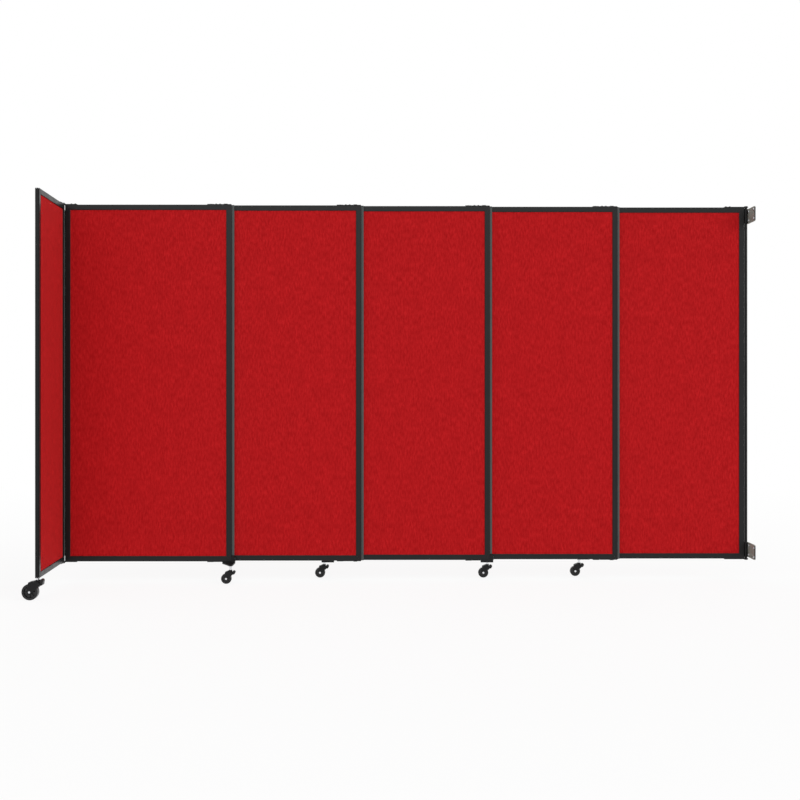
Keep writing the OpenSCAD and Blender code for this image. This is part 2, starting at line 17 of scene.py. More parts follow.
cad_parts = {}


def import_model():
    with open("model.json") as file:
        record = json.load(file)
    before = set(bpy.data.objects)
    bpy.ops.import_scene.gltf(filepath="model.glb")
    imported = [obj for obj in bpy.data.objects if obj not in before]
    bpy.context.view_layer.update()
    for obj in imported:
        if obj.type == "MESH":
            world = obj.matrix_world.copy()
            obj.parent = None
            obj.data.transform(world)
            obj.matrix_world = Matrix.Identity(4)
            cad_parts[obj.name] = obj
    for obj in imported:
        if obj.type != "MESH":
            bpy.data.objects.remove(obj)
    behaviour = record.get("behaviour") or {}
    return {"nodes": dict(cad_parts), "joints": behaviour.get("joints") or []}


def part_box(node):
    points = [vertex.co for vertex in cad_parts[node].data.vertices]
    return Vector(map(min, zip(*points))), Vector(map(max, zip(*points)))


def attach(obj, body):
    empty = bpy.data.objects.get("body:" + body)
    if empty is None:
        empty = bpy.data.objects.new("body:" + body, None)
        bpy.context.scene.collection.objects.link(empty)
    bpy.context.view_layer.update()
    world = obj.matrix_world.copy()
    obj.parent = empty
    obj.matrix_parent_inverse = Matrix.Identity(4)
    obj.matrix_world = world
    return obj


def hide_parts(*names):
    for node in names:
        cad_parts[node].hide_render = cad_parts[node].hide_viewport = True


log = logging.getLogger("partition")

Triple = tuple[float, float, float]
Value = Socket | float | tuple[float, ...]
Inputs = dict[str | int, Value]
Element = BMFace | BMEdge

PANELS = (1, 2, 3, 4, 5)
CASTERS = ("panel_1", "panel_3_left", "panel_3_right", "panel_5", "end_panel")
OUTRIGGERS = {
    "panel_1_outrigger": "panel_1",
    "panel_3_outriggers": "panel_3",
    "panel_5_outrigger": "panel_5",
}
END_TURN = math.radians(-86.5)
PLATE_THICKNESS = 0.005
WHITE = (1.0, 1.0, 1.0, 1.0)

# A face looks along an axis if its normal has at least this share of it.
FACING = 0.99
# The ends of a level edge differ in height by less than this, in metres.
LEVEL = 1e-6
# What lies beyond this share of a height or a radius is at its end.
NEARLY = 0.98


class Way(enum.Enum):
    """The direction that a screw head or a ridge faces."""

    UP = (0.0, 0.0, 1.0)
    DOWN = (0.0, 0.0, -1.0)
    FRONT = (0.0, -1.0, 0.0)
    REAR = (0.0, 1.0, 0.0)
    LEFT = (-1.0, 0.0, 0.0)
    RIGHT = (1.0, 0.0, 0.0)

    @property
    def turn(self) -> Matrix:
        """The rotation that takes +Z to this direction."""
        return Vector(self.value).to_track_quat("Z", "Y").to_matrix().to_4x4()


Seats = list[tuple[Vector, Way]]


class Pick(enum.Enum):
    """What is picked in edit mode."""

    FACES = "FACE"
    EDGES = "EDGE"


def clear_selection() -> None:
    """Leaves edit mode and deselects every object."""
    if bpy.context.object and bpy.context.object.mode != "OBJECT":
        bpy.ops.object.mode_set(mode="OBJECT")
    bpy.ops.object.select_all(action="DESELECT")


def select_only(obj: Object) -> None:
    """Makes an object the only selected and the active one.

    Args:
        obj: the object.
    """
    clear_selection()
    obj.select_set(True)
    bpy.context.view_layer.objects.active = obj


def pick(obj: Object, what: Pick, wanted: Callable[[Element], bool]) -> None:
    """Selects some faces or edges of an object that is in edit mode.

    Args:
        obj: the mesh object being edited.
        what: whether faces or edges are picked.
        wanted: says of one face or edge whether it is selected.
    """
    bpy.ops.mesh.select_mode(type=what.value)
    bpy.ops.mesh.select_all(action="DESELECT")
    mesh = bmesh.from_edit_mesh(obj.data)
    for element in mesh.faces if what is Pick.FACES else mesh.edges:
        element.select = bool(wanted(element))
    mesh.select_flush_mode()
    bmesh.update_edit_mesh(obj.data)


def standing_cylinder(sides: int, radius: float, height: float) -> Object:
    """Adds a cylinder with its foot at the origin.

    Args:
        sides: how many sides it has.
        radius: its radius at the corners.
        height: its height.

    Returns:
        The object.
    """
    clear_selection()
    middle = (0, 0, height / 2)
    bpy.ops.mesh.primitive_cylinder_add(vertices=sides, radius=radius, depth=height, location=middle)
    bpy.ops.object.transform_apply(location=True, rotation=False, scale=False)
    return bpy.context.object


def is_level(edge: BMEdge) -> bool:
    """Whether both ends of an edge are at one height."""
    return abs(edge.verts[0].co.z - edge.verts[1].co.z) < LEVEL


def faces_up_or_down(face: BMFace) -> bool:
    """Whether a face looks up or down."""
    return abs(face.normal.z) > FACING


def settle(obj: Object) -> None:
    """Moves an object's place into its mesh.

    Args:
        obj: the object.
    """
    clear_selection()
    bpy.context.view_layer.update()
    obj.data.transform(obj.matrix_world)
    obj.matrix_world = Matrix()
    obj.data.update()


def shade(obj: Object, degrees: float) -> None:
    """Shades an object smooth and keeps its sharp edges.

    Args:
        obj: the object.
        degrees: the angle from which an edge is sharp.
    """
    select_only(obj)
    bpy.ops.object.shade_smooth_by_angle(angle=math.radians(degrees))
    clear_selection()


def repeat(model: Object, places: Iterable[Matrix], name: str, degrees: float) -> Object:
    """Makes one piece of copies of a model, and removes the model.

    Args:
        model: the object that is copied, at the origin.
        places: where each copy's origin and axes go.
        name: the piece's name.
        degrees: the angle from which an edge is sharp.

    Returns:
        The piece, shaded, with its place in its mesh.
    """
    copies = []
    for place in places:
        twin = model.copy()
        twin.data = model.data.copy()
        bpy.context.scene.collection.objects.link(twin)
        twin.data.transform(place)
        copies.append(twin)
    discard(model)
    clear_selection()
    for twin in copies:
        twin.select_set(True)
    bpy.context.view_layer.objects.active = copies[0]
    bpy.ops.object.join()
    piece = bpy.context.object
    piece.name = name
    piece.data.name = name
    shade(piece, degrees)
    return piece


def discard(obj: Object) -> None:
    """Removes an object that has served its turn."""
    bpy.data.objects.remove(obj, do_unlink=True)


def dress(obj: Object, finish: Material) -> None:
    """Gives an object one material."""
    obj.data.materials.clear()
    obj.data.materials.append(finish)


def deliver(obj: Object, body: str, finish: Material) -> None:
    """Finishes a new piece: its material and its body.

    Args:
        obj: the piece, settled.
        body: the CAD body that it rides on.
        finish: its material.
    """
    dress(obj, finish)
    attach(obj, body)
    log.info("%s rides on %s, %d faces", obj.name, body, len(obj.data.polygons))


def centre_of(node: str) -> Vector:
    """The middle of a CAD node's box."""
    low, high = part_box(node)
    return Vector([(a + b) / 2 for a, b in zip(low, high)])


def joint_place(name: str) -> list[float]:
    """Where a joint's axis stands, from the record."""
    return next(joint["pos_m"] for joint in FRAME["joints"] if joint["name"] == name)


def opaque(colour: Triple) -> tuple[float, ...]:
    """A colour with full alpha."""
    return (*colour, 1.0)


class NodeSheet:
    """Lays out shader nodes and links them."""

    def __init__(self, tree: NodeTree) -> None:
        """Keeps the tree that nodes are added to."""
        self.tree = tree

    def fill(self, node: Node, inputs: Inputs) -> None:
        """Feeds a node's inputs.

        Args:
            node: the node.
            inputs: socket name or number to a value or an output socket.
        """
        for key, value in inputs.items():
            if isinstance(value, Socket):
                self.tree.links.new(value, node.inputs[key])
            else:
                node.inputs[key].default_value = value

    def add(self, kind: str, inputs: Inputs | None = None, **settings: object) -> Node:
        """Adds one node.

        Args:
            kind: the node's type name.
            inputs: socket name or number to a value or an output socket.
            **settings: properties of the node.

        Returns:
            The node.
        """
        node = self.tree.nodes.new(kind)
        for key, value in settings.items():
            setattr(node, key, value)
        self.fill(node, inputs or {})
        return node

    def group(self, tree: NodeTree, inputs: Inputs) -> Node:
        """Places a node group."""
        return self.add("ShaderNodeGroup", inputs, node_tree=tree)

    def math(self, operation: str, a: Value, b: Value = 0.0) -> Socket:
        """The result of a math node on a and b."""
        return self.add("ShaderNodeMath", {0: a, 1: b}, operation=operation).outputs[0]

    def blend(self, factor: Value, a: Value, b: Value) -> Socket:
        """The colour between a and b at factor."""
        return self.add("ShaderNodeMix", {0: factor, 6: a, 7: b}, data_type="RGBA").outputs[2]

    def noise(self, vector: Socket, scale: Value, detail: float) -> Socket:
        """The value of a noise texture at vector."""
        inputs = {"Vector": vector, "Scale": scale, "Detail": detail}
        return self.add("ShaderNodeTexNoise", inputs).outputs[0]

    def stretched_noise(self, vector: Socket, scales: Triple, detail: float) -> Socket:
        """The value of a noise texture that has its own scale along each axis."""
        place = self.add("ShaderNodeMapping", {"Vector": vector, "Scale": scales}).outputs[0]
        return self.noise(place, 1.0, detail)

    def ramp(self, value: Socket, low: float, high: float, start: float = 0.0, stop: float = 1.0) -> Socket:
        """The value, mapped from low..high to start..stop and kept between these."""
        return self.add("ShaderNodeMapRange", {0: value, 1: low, 2: high, 3: start, 4: stop}).outputs[0]

    def bump(self, height: Socket, strength: float, distance: float) -> Socket:
        """The normal of a surface with the height as relief, distance metres deep."""
        inputs = {"Strength": strength, "Distance": distance, "Height": height}
        return self.add("ShaderNodeBump", inputs).outputs[0]

    def object_place(self) -> Socket:
        """The place on the object, in metres."""
        return self.add("ShaderNodeTexCoord").outputs["Object"]


def new_group(name: str, label: str, outputs: Iterable[str]) -> tuple[NodeSheet, Socket, Socket, Node]:
    """Starts a shader node group with two inputs: Vector, and a number.

    Args:
        name: the group's name.
        label: the number's name.
        outputs: names of the outputs, which are numbers.

    Returns:
        The group's node sheet, its two inputs and its output node.
    """
    tree = bpy.data.node_groups.new(name, "ShaderNodeTree")
    tree.interface.new_socket("Vector", in_out="INPUT", socket_type="NodeSocketVector")
    tree.interface.new_socket(label, in_out="INPUT", socket_type="NodeSocketFloat")
    for output in outputs:
        tree.interface.new_socket(output, in_out="OUTPUT", socket_type="NodeSocketFloat")
    sheet = NodeSheet(tree)
    start = sheet.add("NodeGroupInput")
    return sheet, start.outputs[0], start.outputs[1], sheet.add("NodeGroupOutput")


def new_material(name: str) -> tuple[Material, NodeSheet, Node]:
    """Starts a material.

    Args:
        name: the material's name.

    Returns:
        The material, the sheet of its nodes and its Principled shader.
    """
    material = bpy.data.materials.new(name)
    material.use_nodes = True
    return material, NodeSheet(material.node_tree), material.node_tree.nodes["Principled BSDF"]


@dataclass(frozen=True)
class FineGrain:
    """Fine orange-peel grain: a height and a mask that varies slowly."""

    patch_size: float = 45.0
    fine_detail: float = 2.0
    patch_detail: float = 3.0

    def build(self) -> NodeTree:
        """Makes the node group.

        Returns:
            The group.
        """
        sheet, vector, scale, end = new_group("fine_grain", "Scale", ("Height", "Patches"))
        fine = sheet.noise(vector, scale, self.fine_detail)
        broad = sheet.noise(vector, sheet.math("DIVIDE", scale, self.patch_size), self.patch_detail)
        sheet.fill(end, {0: fine, 1: broad})
        return sheet.tree


@dataclass(frozen=True)
class HandlingMarks:
    """Dust and handling marks: a mask with soft blotches and a few fine scuffs."""

    blotch_scale: float = 14.0
    blotch_detail: float = 5.0
    blotch_range: tuple[float, float] = (0.45, 0.75)
    blotch_share: float = 0.6
    scuff_scales: Triple = (160.0, 160.0, 9.0)
    scuff_detail: float = 4.0
    scuff_range: tuple[float, float] = (0.62, 0.8)

    def build(self) -> NodeTree:
        """Makes the node group.

        Returns:
            The group.
        """
        sheet, vector, amount, end = new_group("handling_marks", "Amount", ("Mask",))
        blotch = sheet.noise(vector, self.blotch_scale, self.blotch_detail)
        scuff = sheet.stretched_noise(vector, self.scuff_scales, self.scuff_detail)
        soft = sheet.math("MULTIPLY", sheet.ramp(blotch, *self.blotch_range), self.blotch_share)
        both = sheet.math("ADD", soft, sheet.ramp(scuff, *self.scuff_range))
        sheet.fill(end, {0: sheet.math("MULTIPLY", both, amount)})
        return sheet.tree


@dataclass(frozen=True)
class Weave:
    """A ribbed upholstery weave on a map in metres.

    Height is the thread relief, Streak the long uneven threads, and Mottle the soft
    difference in dye between areas.
    """

    sway: float = 0.0016
    sway_scale: float = 60.0
    sway_detail: float = 2.0
    weft_pitch: float = 1.3
    weft_depth: float = 0.6
    column_shift: float = 0.5
    thread_scales: Triple = (420.0, 34.0, 1.0)
    thread_detail: float = 3.0
    ridge_scales: Triple = (125.0, 42.0, 1.0)
    ridge_detail: float = 2.0
    ridge_share: float = 0.6
    mottle_scales: Triple = (22.0, 12.0, 1.0)
    mottle_detail: float = 5.0

    @staticmethod
    def arches(sheet: NodeSheet, count: Socket) -> Socket:
        """A row of arches from 0 to 1 and back, one for each whole number of count."""
        return sheet.math("ABSOLUTE", sheet.math("SINE", sheet.math("MULTIPLY", count, math.pi)))

    def build(self) -> NodeTree:
        """Makes the node group.

        Returns:
            The group.
        """
        sheet, vector, thread, end = new_group("panel_weave", "Thread", ("Height", "Streak", "Mottle"))
        knit = self.relief(sheet, vector, thread)
        threads = sheet.stretched_noise(vector, self.thread_scales, self.thread_detail)
        ridges = sheet.stretched_noise(vector, self.ridge_scales, self.ridge_detail)
        long_threads = sheet.math("MULTIPLY", threads, 1.0 - self.ridge_share)
        streak = sheet.math("ADD", long_threads, sheet.math("MULTIPLY", ridges, self.ridge_share))
        mottle = sheet.stretched_noise(vector, self.mottle_scales, self.mottle_detail)
        sheet.fill(end, {0: knit, 1: streak, 2: mottle})
        return sheet.tree

    def relief(self, sheet: NodeSheet, vector: Socket, thread: Socket) -> Socket:
        """The threads' height: upright ribs, crossed by a weft that is offset rib by rib.

        Args:
            sheet: the group's node sheet.
            vector: the place on the map.
            thread: the width of a rib.

        Returns:
            The height, from 0 to 1.
        """
        wobble = sheet.noise(vector, self.sway_scale, self.sway_detail)
        sway = sheet.math("MULTIPLY", sheet.math("SUBTRACT", wobble, 0.5), self.sway)
        axes = sheet.add("ShaderNodeSeparateXYZ", {0: vector}).outputs
        across = sheet.math("DIVIDE", sheet.math("ADD", axes[0], sway), thread)
        pitch = sheet.math("MULTIPLY", thread, self.weft_pitch)
        along = sheet.math("DIVIDE", sheet.math("ADD", axes[1], sway), pitch)
        column = sheet.math("MULTIPLY", sheet.math("FLOOR", across), self.column_shift)
        crossing = self.arches(sheet, sheet.math("ADD", along, column))
        weft = sheet.math("MULTIPLY", crossing, self.weft_depth)
        raised = sheet.math("ADD", weft, 1.0 - self.weft_depth)
        return sheet.math("MULTIPLY", self.arches(sheet, across), raised)


@dataclass
class Effects:
    """The node groups that the finishes share, each built once."""

    grain: NodeTree = field(default_factory=FineGrain().build)
    handling: NodeTree = field(default_factory=HandlingMarks().build)
    weave: NodeTree = field(default_factory=Weave().build)


@dataclass(frozen=True)
class Coating:
    """A paint, plastic or rubber finish with grain and handling marks."""

    name: str
    colour: Triple
    worn: Triple
    roughness: float
    grain_scale: float = 900.0
    grain_depth: float = 0.00003
    grain_strength: float = 0.5
    marks: float = 0.3
    uneven: float = 0.22
    rubbed: float = 0.15
    metallic: float = 0.0
    coat: float = 0.0
    coat_roughness: float = 0.2
    specular: float = 0.2

    def build(self, effects: Effects) -> Material:
        """Makes the material.

        Args:
            effects: the shared node groups.

        Returns:
            The material.
        """
        material, sheet, shader = new_material(self.name)
        place = sheet.object_place()
        grain = sheet.group(effects.grain, {"Vector": place, "Scale": self.grain_scale}).outputs
        marks = sheet.group(effects.handling, {"Vector": place, "Amount": self.marks}).outputs[0]
        uneven = sheet.math("MULTIPLY", sheet.math("SUBTRACT", grain["Patches"], 0.5), self.uneven)
        rough = sheet.math("ADD", uneven, self.roughness)
        sheet.fill(shader, {
            "Base Color": sheet.blend(marks, opaque(self.colour), opaque(self.worn)),
            "Metallic": self.metallic,
            "Roughness": sheet.math("ADD", rough, sheet.math("MULTIPLY", marks, self.rubbed)),
            "Normal": sheet.bump(grain["Height"], self.grain_strength, self.grain_depth),
            "Specular IOR Level": self.specular,
            "Coat Weight": self.coat,
            "Coat Roughness": self.coat_roughness,
        })
        return material


@dataclass(frozen=True)
class Plating(Coating):
    """A bright or dull metal plating."""

    grain_depth: float = 0.00002
    grain_strength: float = 0.2
    marks: float = 0.25
    uneven: float = 0.0
    rubbed: float = 0.3
    metallic: float = 1.0
    specular: float = 0.5


@dataclass(frozen=True)
class PlatePaintedReflection:
    """Black wall plates with a painted reflection: grey on their flats stands in for the white room that
    they reflect at a grazing angle, while the barrels and front edges keep the black.
    """

    reflection_grey: Coating
    black: Triple = (0.006, 0.0062, 0.0066)
    behind_flat: float = 0.0002
    front_edge: float = 0.0006

    def build(self, effects: Effects) -> Material:
        """Makes the material.

        Args:
            effects: the shared node groups.

        Returns:
            The material.
        """
        material = self.reflection_grey.build(effects)
        sheet = NodeSheet(material.node_tree)
        base = material.node_tree.nodes["Principled BSDF"].inputs["Base Color"]
        low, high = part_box("wall_plates")
        axes = sheet.add("ShaderNodeSeparateXYZ", {0: sheet.object_place()}).outputs
        flat = sheet.math("GREATER_THAN", axes[0], high[0] - PLATE_THICKNESS - self.behind_flat)
        behind = sheet.math("GREATER_THAN", axes[1], low[1] + self.front_edge)
        mask = sheet.math("MULTIPLY", flat, behind)
        grey = base.links[0].from_socket
        # Painted reflection: grey on the flats, the plates' own black on the barrels and front edges.
        sheet.tree.links.new(sheet.blend(mask, opaque(self.black), grey), base)
        return material


@dataclass(frozen=True)
class PanelFabric:
    """The ribbed red fabric, laid out on a map in metres, with painted shade in the valleys between its
    threads.
    """

    name: str = "red_panel_fabric"
    colour: Triple = (0.41, 0.0065, 0.0085)
    # deep is both the darker dye of the mottle and the colour of the painted shade in the thread valleys.
    deep: Triple = (0.25, 0.0032, 0.0045)
    bright: Triple = (0.6, 0.0155, 0.0185)
    thread: float = 0.0016
    streak_range: tuple[float, float] = (0.37, 0.63)
    dye_range: tuple[float, float] = (0.34, 0.66)
    dye_result: tuple[float, float] = (0.1, 0.9)
    dye_share: float = 0.25
    valley_shade_share: float = 0.45
    roughness: float = 0.82
    valley_roughness: float = 0.12
    relief_strength: float = 0.6
    relief_depth: float = 0.0004
    sheen: float = 0.04
    sheen_roughness: float = 0.6
    sheen_tint: Triple = (1.0, 0.35, 0.3)
    specular: float = 0.05

    def build(self, effects: Effects) -> Material:
        """Makes the material.

        Args:
            effects: the shared node groups.

        Returns:
            The material.
        """
        material, sheet, shader = new_material(self.name)
        cut = sheet.add("ShaderNodeUVMap", uv_map="cut").outputs[0]
        weave = sheet.group(effects.weave, {"Vector": cut, "Thread": self.thread}).outputs
        streaks = sheet.ramp(weave["Streak"], *self.streak_range)
        dye = sheet.ramp(weave["Mottle"], *self.dye_range, *self.dye_result)
        valley = sheet.math("SUBTRACT", 1.0, weave["Height"])
        base = sheet.blend(streaks, opaque(self.colour), opaque(self.bright))
        dyed = sheet.blend(sheet.math("MULTIPLY", dye, self.dye_share), base, opaque(self.deep))
        # Painted shade: the valleys between the threads are darkened towards the deep colour.
        shadow = sheet.math("MULTIPLY", valley, self.valley_shade_share)
        rougher = sheet.math("MULTIPLY", valley, self.valley_roughness)
        sheet.fill(shader, {
            "Base Color": sheet.blend(shadow, dyed, opaque(self.deep)),
            "Roughness": sheet.math("ADD", rougher, self.roughness),
            "Normal": sheet.bump(weave["Height"], self.relief_strength, self.relief_depth),
            "Sheen Weight": self.sheen,
            "Sheen Roughness": self.sheen_roughness,
            "Sheen Tint": opaque(self.sheen_tint),
            "Specular IOR Level": self.specular,
        })
        return material


FRAME_COAT = Coating(
    "frame_powder_coat", (0.0095, 0.0098, 0.0102), (0.018, 0.0185, 0.019), 0.34,
    grain_scale=1100.0, grain_depth=0.00004,
)
HARDWARE_COAT = Coating(
    "hardware_powder_coat", (0.006, 0.0062, 0.0066), (0.015, 0.015, 0.016), 0.42, grain_depth=0.00005,
)
GUIDE_NYLON = Coating(
    "guide_nylon", (0.008, 0.008, 0.0086), (0.02, 0.02, 0.021), 0.5, grain_scale=700.0, marks=0.35,
)
WHEEL_NYLON = Coating(
    "wheel_nylon", (0.006, 0.006, 0.0065), (0.028, 0.027, 0.026), 0.28,
    grain_scale=500.0, grain_depth=0.00002, marks=0.35, coat=0.1, specular=0.35,
)
LEVER_PLASTIC = Coating(
    "lever_plastic", (0.006, 0.006, 0.0065), (0.02, 0.02, 0.02), 0.34, grain_scale=600.0, specular=0.3,
)
SEAL_RUBBER = Coating(
    "edge_seal_rubber", (0.076, 0.084, 0.083), (0.115, 0.12, 0.118), 0.55,
    grain_scale=800.0, grain_depth=0.00005, marks=0.4,
)
HINGE_VINYL = Coating(
    "hinge_seal_vinyl", (0.006, 0.006, 0.0062), (0.014, 0.014, 0.014), 0.6, grain_scale=800.0,
)
# Painted reflection: this grey on the wall plates' flats stands in for the white room that the black plates
# reflect at a grazing angle.
PLATE_PAINTED_REFLECTION = PlatePaintedReflection(Coating(
    "wall_plate_painted_reflection", (0.31, 0.33, 0.29), (0.4, 0.41, 0.37), 0.4, grain_depth=0.00004, marks=0.4,
))
CHROME = Plating("bright_chrome", (0.72, 0.73, 0.75), (0.396, 0.4015, 0.4125), 0.12)
ZINC = Plating("die_cast_zinc", (0.5, 0.51, 0.53), (0.275, 0.2805, 0.2915), 0.38)
BLACK_SCREW = Plating("black_screw", (0.05, 0.05, 0.053), (0.0275, 0.0275, 0.02915), 0.3)


@dataclass
class Finishes:
    """Every material of the partition, built once."""

    effects: Effects = field(default_factory=Effects)

    def __post_init__(self) -> None:
        """Builds the materials."""
        self.frame = FRAME_COAT.build(self.effects)
        self.steel = HARDWARE_COAT.build(self.effects)
        self.nylon = GUIDE_NYLON.build(self.effects)
        self.wheel = WHEEL_NYLON.build(self.effects)
        self.lever = LEVER_PLASTIC.build(self.effects)
        self.seal = SEAL_RUBBER.build(self.effects)
        self.vinyl = HINGE_VINYL.build(self.effects)
        self.plate = PLATE_PAINTED_REFLECTION.build(self.effects)
        self.chrome = CHROME.build(self.effects)
        self.zinc = ZINC.build(self.effects)
        self.black_screw = BLACK_SCREW.build(self.effects)
        self.fabric = PanelFabric().build(self.effects)

    def for_node(self, node: str) -> Material:
        """The material of a CAD node.

        Args:
            node: the node's name, whose ending says what it is.

        Returns:
            The material.
        """
        endings = {
            "_frame": self.frame,
            "hinge_rod": self.frame,
            "corner_keys": self.zinc,
            "_board": self.fabric,
            "guides": self.nylon,
            "wall_plates": self.plate,
            "hinge_seal": self.vinyl,
            "edge_seal": self.seal,
            "_wheel": self.wheel,
            "_brake_lever": self.lever,
            "_pins": self.chrome,
        }
        for ending, finish in endings.items():
            if node.endswith(ending):
                return finish
        return self.steel

    def dress_nodes(self) -> None:
        """Gives every CAD node its finish."""
        for name, obj in FRAME["nodes"].items():
            finish = self.for_node(name)
            for entry in obj.material_slots:
                entry.material = finish
            if not obj.material_slots:
                obj.data.materials.append(finish)
            log.info("%s is finished in %s", name, finish.name)


@dataclass
class FabricBoards:
    """The fabric-wrapped boards, one for each panel frame.

    The wrap rolls over at the frame's groove, swells a little behind it and is stretched
    flat in the middle, with the slight waves that stretched fabric keeps. Points farther
    from the middle than face_share of the thickness take part in the waves.
    """

    finish: Material
    groove: float = 0.0075
    thickness: float = 0.0122
    cad_thickness: float = 0.012
    roll: float = 0.0022
    roll_steps: int = 3
    swell: float = 0.0005
    swell_width: float = 0.012
    flattening: float = 0.6
    cuts: int = 14
    face_share: float = 0.45
    wave: float = 0.00022
    waves_across: float = 5.0
    waves_up: float = 3.0
    seed_depth: float = 0.3
    cloth_shift: float = 0.37
    end_panel_seed: float = 6.0
    smooth_degrees: float = 40.0

    def slab(self, width: float, height: float) -> Object:
        """Models one wrapped board, upright at the origin.

        Args:
            width: the board's width along X.
            height: the board's height along Z.

        Returns:
            The object.
        """
        clear_selection()
        bpy.ops.mesh.primitive_cube_add(size=1.0)
        board = bpy.context.object
        board.scale = (width, self.thickness, height)
        bpy.ops.object.transform_apply(location=False, rotation=False, scale=True)
        bpy.ops.object.mode_set(mode="EDIT")
        bpy.ops.mesh.select_all(action="SELECT")
        bpy.ops.mesh.bevel(offset=self.roll, segments=self.roll_steps, affect="EDGES")
        pick(board, Pick.FACES, lambda face: abs(face.normal.y) > FACING)
        bpy.ops.mesh.inset(thickness=self.groove, depth=self.swell)
        bpy.ops.mesh.inset(thickness=self.swell_width, depth=-self.flattening * self.swell)
        bpy.ops.mesh.subdivide(number_cuts=self.cuts, smoothness=0.0)
        bpy.ops.mesh.select_all(action="SELECT")
        bpy.ops.mesh.normals_make_consistent(inside=False)
        bpy.ops.object.mode_set(mode="OBJECT")
        return board

    def lay_out(self, board: Object, seed: float) -> None:
        """Adds the waves and the map in metres on which the weave lies.

        Args:
            board: the board, upright at the origin.
            seed: shifts the waves and the cloth, so that no two boards match.
        """
        for vertex in board.data.vertices:
            point = vertex.co
            if abs(point.y) > self.thickness * self.face_share:
                across = point.x * self.waves_across + seed
                spot = Vector((across, point.z * self.waves_up, self.seed_depth * seed))
                point.y += math.copysign(self.wave, point.y) * noise.noise(spot)
        layer = board.data.uv_layers.new(name="cut")
        for loop in board.data.loops:
            point = board.data.vertices[loop.vertex_index].co
            layer.data[loop.index].uv = (point.x + self.cloth_shift * seed, point.z)

    def board(self, body: str, width: float, turn: float, seed: float) -> None:
        """Makes the board of one panel and has it stand for its node.

        Args:
            body: the panel, which is also the body that the board rides on.
            width: the board's width.
            turn: the panel's turn about the vertical, in radians.
            seed: tells its waves and its cloth from those of other boards.
        """
        node = f"{body}_board"
        low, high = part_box(node)
        board = self.slab(width, high[2] - low[2])
        self.lay_out(board, seed)
        board.rotation_euler = (0.0, 0.0, turn)
        board.location = centre_of(node)
        board.name = f"{node}_fabric"
        settle(board)
        shade(board, self.smooth_degrees)
        deliver(board, body, self.finish)
        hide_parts(node)

    def build(self) -> None:
        """Makes the boards of the five panels and of the end panel."""
        for number in PANELS:
            low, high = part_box(f"panel_{number}_board")
            self.board(f"panel_{number}", high[0] - low[0], 0.0, float(number))
        low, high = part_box("end_panel_board")
        reach = high[1] - low[1] - self.cad_thickness * math.cos(END_TURN)
        self.board("end_panel", reach / -math.sin(END_TURN), END_TURN, self.end_panel_seed)


@dataclass
class Screws:
    """Pan-head screws with a cross recess. Shares are of the head's radius or height."""

    finish: Material
    head_radius: float = 0.0045
    head_height: float = 0.0034
    sides: int = 24
    crown_share: float = 0.55
    crown_steps: int = 4
    dish_inset: float = 0.12
    dish_rise: float = 0.04
    shank_length: float = 0.0025
    shank_share: float = 0.5
    slot_length: float = 1.15
    slot_width: float = 0.26
    slot_depth: float = 0.9
    spin_step: float = 0.6
    smooth_degrees: float = 30.0

    def model(self, radius: float, height: float) -> Object:
        """Models one screw with its seat at the origin and its head up.

        Args:
            radius: the head's radius.
            height: the head's height.

        Returns:
            The object.
        """
        head = standing_cylinder(self.sides, radius, height)
        bpy.ops.object.mode_set(mode="EDIT")
        top = height * NEARLY
        pick(head, Pick.EDGES, lambda edge: all(vertex.co.z > top for vertex in edge.verts))
        bpy.ops.mesh.bevel(offset=height * self.crown_share, segments=self.crown_steps, affect="EDGES")
        pick(head, Pick.FACES, lambda face: face.normal.z > FACING and face.calc_center_median().z > top)
        bpy.ops.mesh.inset(thickness=radius * self.dish_inset, depth=height * self.dish_rise)
        pick(head, Pick.FACES, lambda face: face.normal.z < -FACING)
        bpy.ops.mesh.extrude_region_move(TRANSFORM_OT_translate={"value": (0, 0, -self.shank_length)})
        bpy.ops.transform.resize(value=(self.shank_share, self.shank_share, 1.0))
        bpy.ops.object.mode_set(mode="OBJECT")
        for turn in (0.0, math.pi / 2):
            self.cut_slot(head, radius, height, turn)
        return head

    def cut_slot(self, head: Object, radius: float, height: float, turn: float) -> None:
        """Cuts one arm of the cross recess into the head.

        Args:
            head: the screw.
            radius: the head's radius.
            height: the head's height.
            turn: the arm's turn about the screw's axis, in radians.
        """
        clear_selection()
        bpy.ops.mesh.primitive_cube_add(size=1.0, location=(0, 0, height), rotation=(0, 0, turn))
        tool = bpy.context.object
        tool.scale = (radius * self.slot_length, radius * self.slot_width, height * self.slot_depth)
        select_only(head)
        cut = head.modifiers.new("recess", "BOOLEAN")
        cut.operation = "DIFFERENCE"
        cut.solver = "EXACT"
        cut.object = tool
        bpy.ops.object.modifier_apply(modifier=cut.name)
        discard(tool)

    def set_of(
        self, name: str, body: str, seats: Seats, size: float = 1.0, finish: Material | None = None
    ) -> None:
        """Puts screws at several seats and makes them one piece.

        Args:
            name: the piece's name.
            body: the body it rides on.
            seats: each screw's seat and the way its head faces.
            size: scale of the head.
            finish: another finish than the screws' own.
        """
        places = []
        for number, (seat, way) in enumerate(seats):
            spin = Matrix.Rotation(self.spin_step * number, 4, "Z")
            places.append(Matrix.Translation(seat) @ way.turn @ spin)
        model = self.model(self.head_radius * size, self.head_height * size)
        screws = repeat(model, places, name, self.smooth_degrees)
        deliver(screws, body, finish or self.finish)


